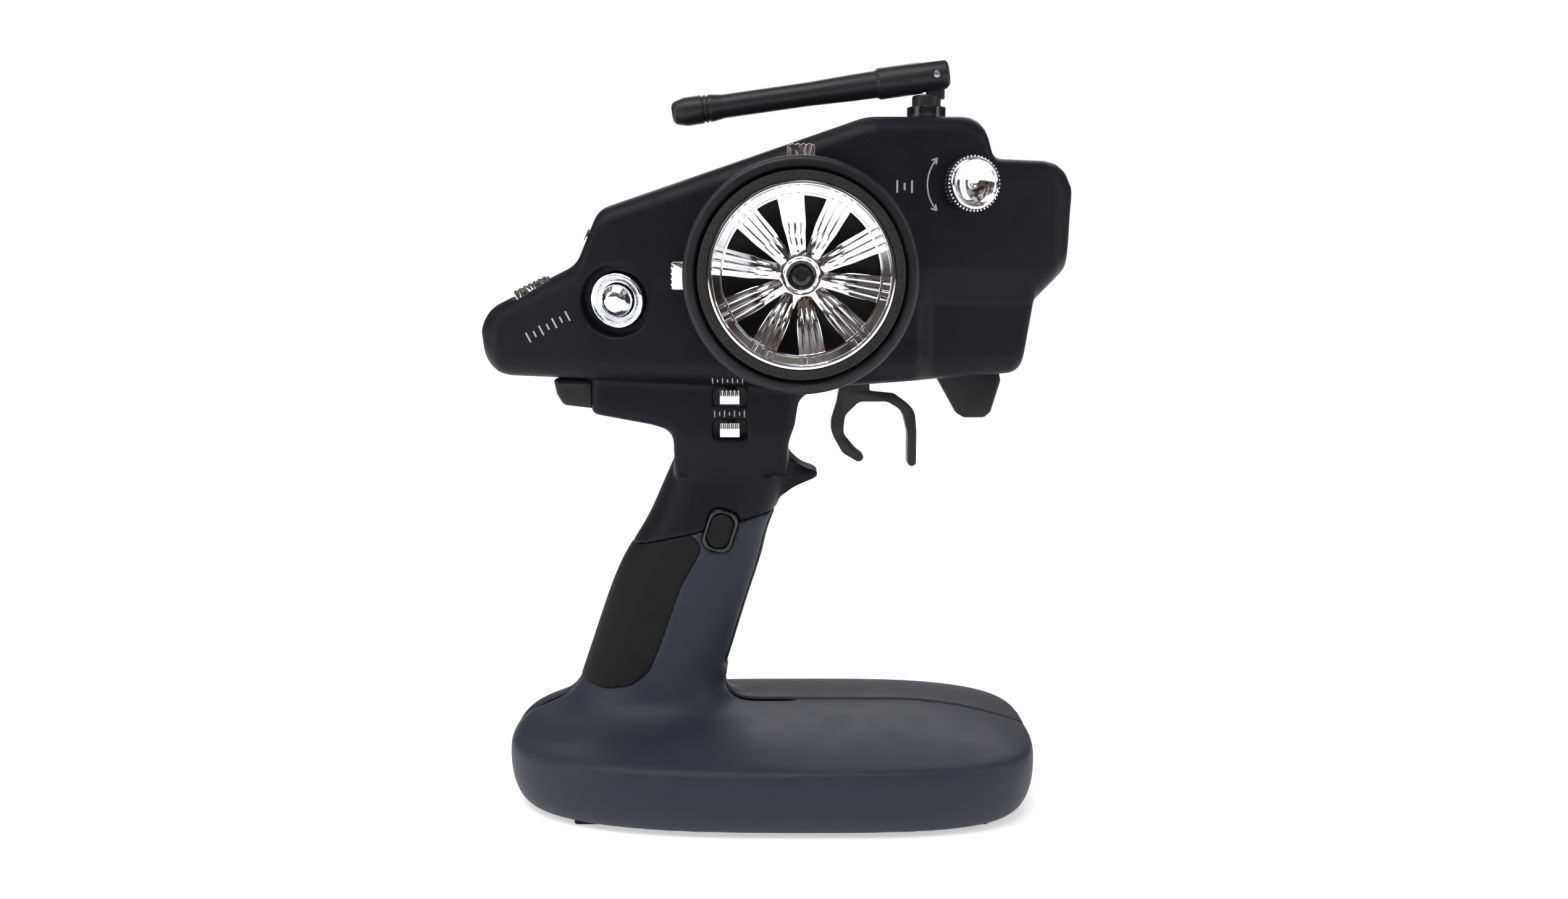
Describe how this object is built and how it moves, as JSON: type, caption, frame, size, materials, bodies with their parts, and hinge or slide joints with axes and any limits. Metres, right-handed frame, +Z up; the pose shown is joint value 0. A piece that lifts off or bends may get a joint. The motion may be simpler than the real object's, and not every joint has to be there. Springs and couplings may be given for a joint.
{
  "type": "pistol-grip radio transmitter controller",
  "caption": "Pistol-grip radio transmitter with a chrome-spoked steering wheel, finger trigger, folding antenna and a weighted battery base.",
  "frame": {"origin": "centre of the footprint of the whole object, at the level its rubber feet stand on", "axes": "+X forward (nose and trigger side), +Z up, the steering wheel faces -Y"},
  "size_m": [0.1794, 0.099, 0.2301],
  "materials": {
    "soft_touch_black": "soft-touch rubberised black paint, low sheen",
    "soft_touch_grey": "soft-touch rubberised slate grey paint, low sheen",
    "rubber_black": "matt moulded black rubber",
    "foam_black": "matt black foam tyre",
    "chrome_trim": "bright chrome-plated plastic",
    "plastic_black": "moulded black plastic, fine texture",
    "gloss_black": "smooth gloss black plastic",
    "steel_bright": "turned bright steel",
    "spring_steel": "drawn spring wire",
    "pcb_green": "solder-masked circuit board",
    "shield_tin": "tinned shield can",
    "nylon_white": "natural moulded nylon",
    "cell_jacket": "printed cell jacket with a plain two-tone band",
    "lens_clear": "clear display window",
    "lens_red": "tinted indicator lens",
    "lead_black": "lead insulation",
    "brass_contact": "sprung contact plate"
  },
  "bodies": {
    "root": {"head_shell_right": "soft_touch_black", "head_shell_left": "soft_touch_black", "base_shell_right": "soft_touch_grey", "base_shell_left": "soft_touch_grey", "battery_tray": "plastic_black", "battery_cells": "cell_jacket", "cell_contacts": "brass_contact", "rubber_feet": "rubber_black", "palm_pad": "rubber_black", "front_strip": "rubber_black", "port_cover": "plastic_black", "front_fin": "plastic_black", "case_screws": "steel_bright", "steering_housing": "soft_touch_black", "trim_pins": "steel_bright", "steering_bracket": "nylon_white", "steering_spring": "spring_steel", "steering_sensor": "shield_tin", "trigger_bracket": "nylon_white", "trigger_spring": "spring_steel", "trigger_sensor": "shield_tin", "knob_sensor": "shield_tin", "aux_bezel": "chrome_trim", "aux_switch_body": "gloss_black", "grip_bezel": "gloss_black", "grip_switch_body": "gloss_black", "lever_carrier": "nylon_white", "lcd_window": "lens_clear", "lcd_module": "shield_tin", "power_switch_body": "shield_tin", "status_lens": "lens_red", "antenna_collar": "gloss_black", "main_board": "pcb_green", "rf_module": "shield_tin", "antenna_lead": "lead_black", "battery_lead": "lead_black"},
    "steering_wheel": {"wheel_rim": "chrome_trim", "wheel_tyre": "foam_black", "wheel_cap": "gloss_black", "wheel_shaft": "steel_bright"},
    "trigger": {"trigger_lever": "plastic_black", "trigger_shaft": "steel_bright"},
    "dr_knob": {"dr_knob": "chrome_trim", "knob_stem": "steel_bright"},
    "aux_button": {"aux_button": "chrome_trim"},
    "grip_button": {"grip_button": "rubber_black"},
    "steering_trim": {"steering_trim": "chrome_trim"},
    "throttle_trim": {"throttle_trim": "chrome_trim"},
    "aux_rate_lever": {"aux_rate_lever": "chrome_trim"},
    "aux_trim_lever": {"aux_trim_lever": "chrome_trim"},
    "menu_rocker_right": {"menu_rocker_right": "chrome_trim"},
    "menu_rocker_left": {"menu_rocker_left": "chrome_trim"},
    "power_switch": {"power_switch": "chrome_trim"},
    "battery_door": {"battery_door": "plastic_black"},
    "antenna_base": {"antenna_base": "plastic_black", "antenna_pin": "steel_bright"},
    "antenna_rod": {"antenna_rod": "plastic_black"}
  },
  "joints": [
    {"name": "steering_turn", "type": "hinge", "parent": "root", "child": "steering_wheel", "pos_m": [0.0072, 0, 0.1648], "axis": [0, -1, 0], "range_deg": [-35, 35], "stiffness_Nm_per_rad": 0.03},
    {"name": "trigger_pull", "type": "hinge", "parent": "root", "child": "trigger", "pos_m": [0.024, 0, 0.146], "axis": [0, 1, 0], "range_deg": [-12, 17], "stiffness_Nm_per_rad": 0.04},
    {"name": "dr_turn", "type": "hinge", "parent": "root", "child": "dr_knob", "pos_m": [0.0559, -0.02076, 0.1915], "axis": [0.2756, -0.9613, 0], "range_deg": [-140, 140]},
    {"name": "aux_press", "type": "slide", "parent": "root", "child": "aux_button", "axis": [0.2064, 0.9712, 0.1191], "range_m": [0, 0.0012], "stiffness_N_per_m": 600, "springref_m": -0.001},
    {"name": "grip_press", "type": "slide", "parent": "root", "child": "grip_button", "axis": [0, 1, 0], "range_m": [0, 0.001], "stiffness_N_per_m": 600, "springref_m": -0.001},
    {"name": "steering_trim_rock", "type": "hinge", "parent": "root", "child": "steering_trim", "pos_m": [0.0072, -0.029, 0.1898], "axis": [0, -1, 0], "range_deg": [-8, 8], "stiffness_Nm_per_rad": 0.004},
    {"name": "throttle_trim_rock", "type": "hinge", "parent": "root", "child": "throttle_trim", "pos_m": [-0.0178, -0.029, 0.1648], "axis": [0, -1, 0], "range_deg": [-8, 8], "stiffness_Nm_per_rad": 0.004},
    {"name": "aux_rate_swing", "type": "hinge", "parent": "root", "child": "aux_rate_lever", "pos_m": [-0.0141, -0.0074, 0.1284], "axis": [0, 0, 1], "range_deg": [-7, 7], "stiffness_Nm_per_rad": 0.004},
    {"name": "aux_trim_swing", "type": "hinge", "parent": "root", "child": "aux_trim_lever", "pos_m": [-0.0141, -0.0074, 0.1184], "axis": [0, 0, 1], "range_deg": [-7, 7], "stiffness_Nm_per_rad": 0.004},
    {"name": "menu_right_rock", "type": "hinge", "parent": "root", "child": "menu_rocker_right", "pos_m": [-0.07212, -0.0152, 0.15834], "axis": [0, 1, 0], "range_deg": [-4, 4], "stiffness_Nm_per_rad": 0.004},
    {"name": "menu_left_rock", "type": "hinge", "parent": "root", "child": "menu_rocker_left", "pos_m": [-0.07212, 0.0152, 0.15834], "axis": [0, 1, 0], "range_deg": [-4, 4], "stiffness_Nm_per_rad": 0.004},
    {"name": "power_slide", "type": "slide", "parent": "root", "child": "power_switch", "axis": [0, 1, 0], "range_m": [0, 0.005]},
    {"name": "door_slide", "type": "slide", "parent": "root", "child": "battery_door", "axis": [1, 0, 0], "range_m": [0, 0.012]},
    {"name": "antenna_swivel", "type": "hinge", "parent": "root", "child": "antenna_base", "pos_m": [0.0461, 0, 0.212], "axis": [0, 0, 1], "range_deg": [-90, 90]},
    {"name": "antenna_fold", "type": "hinge", "parent": "antenna_base", "child": "antenna_rod", "pos_m": [0.0488, 0, 0.2257], "axis": [0, 1, 0], "range_deg": [0, 98]}
  ]
}
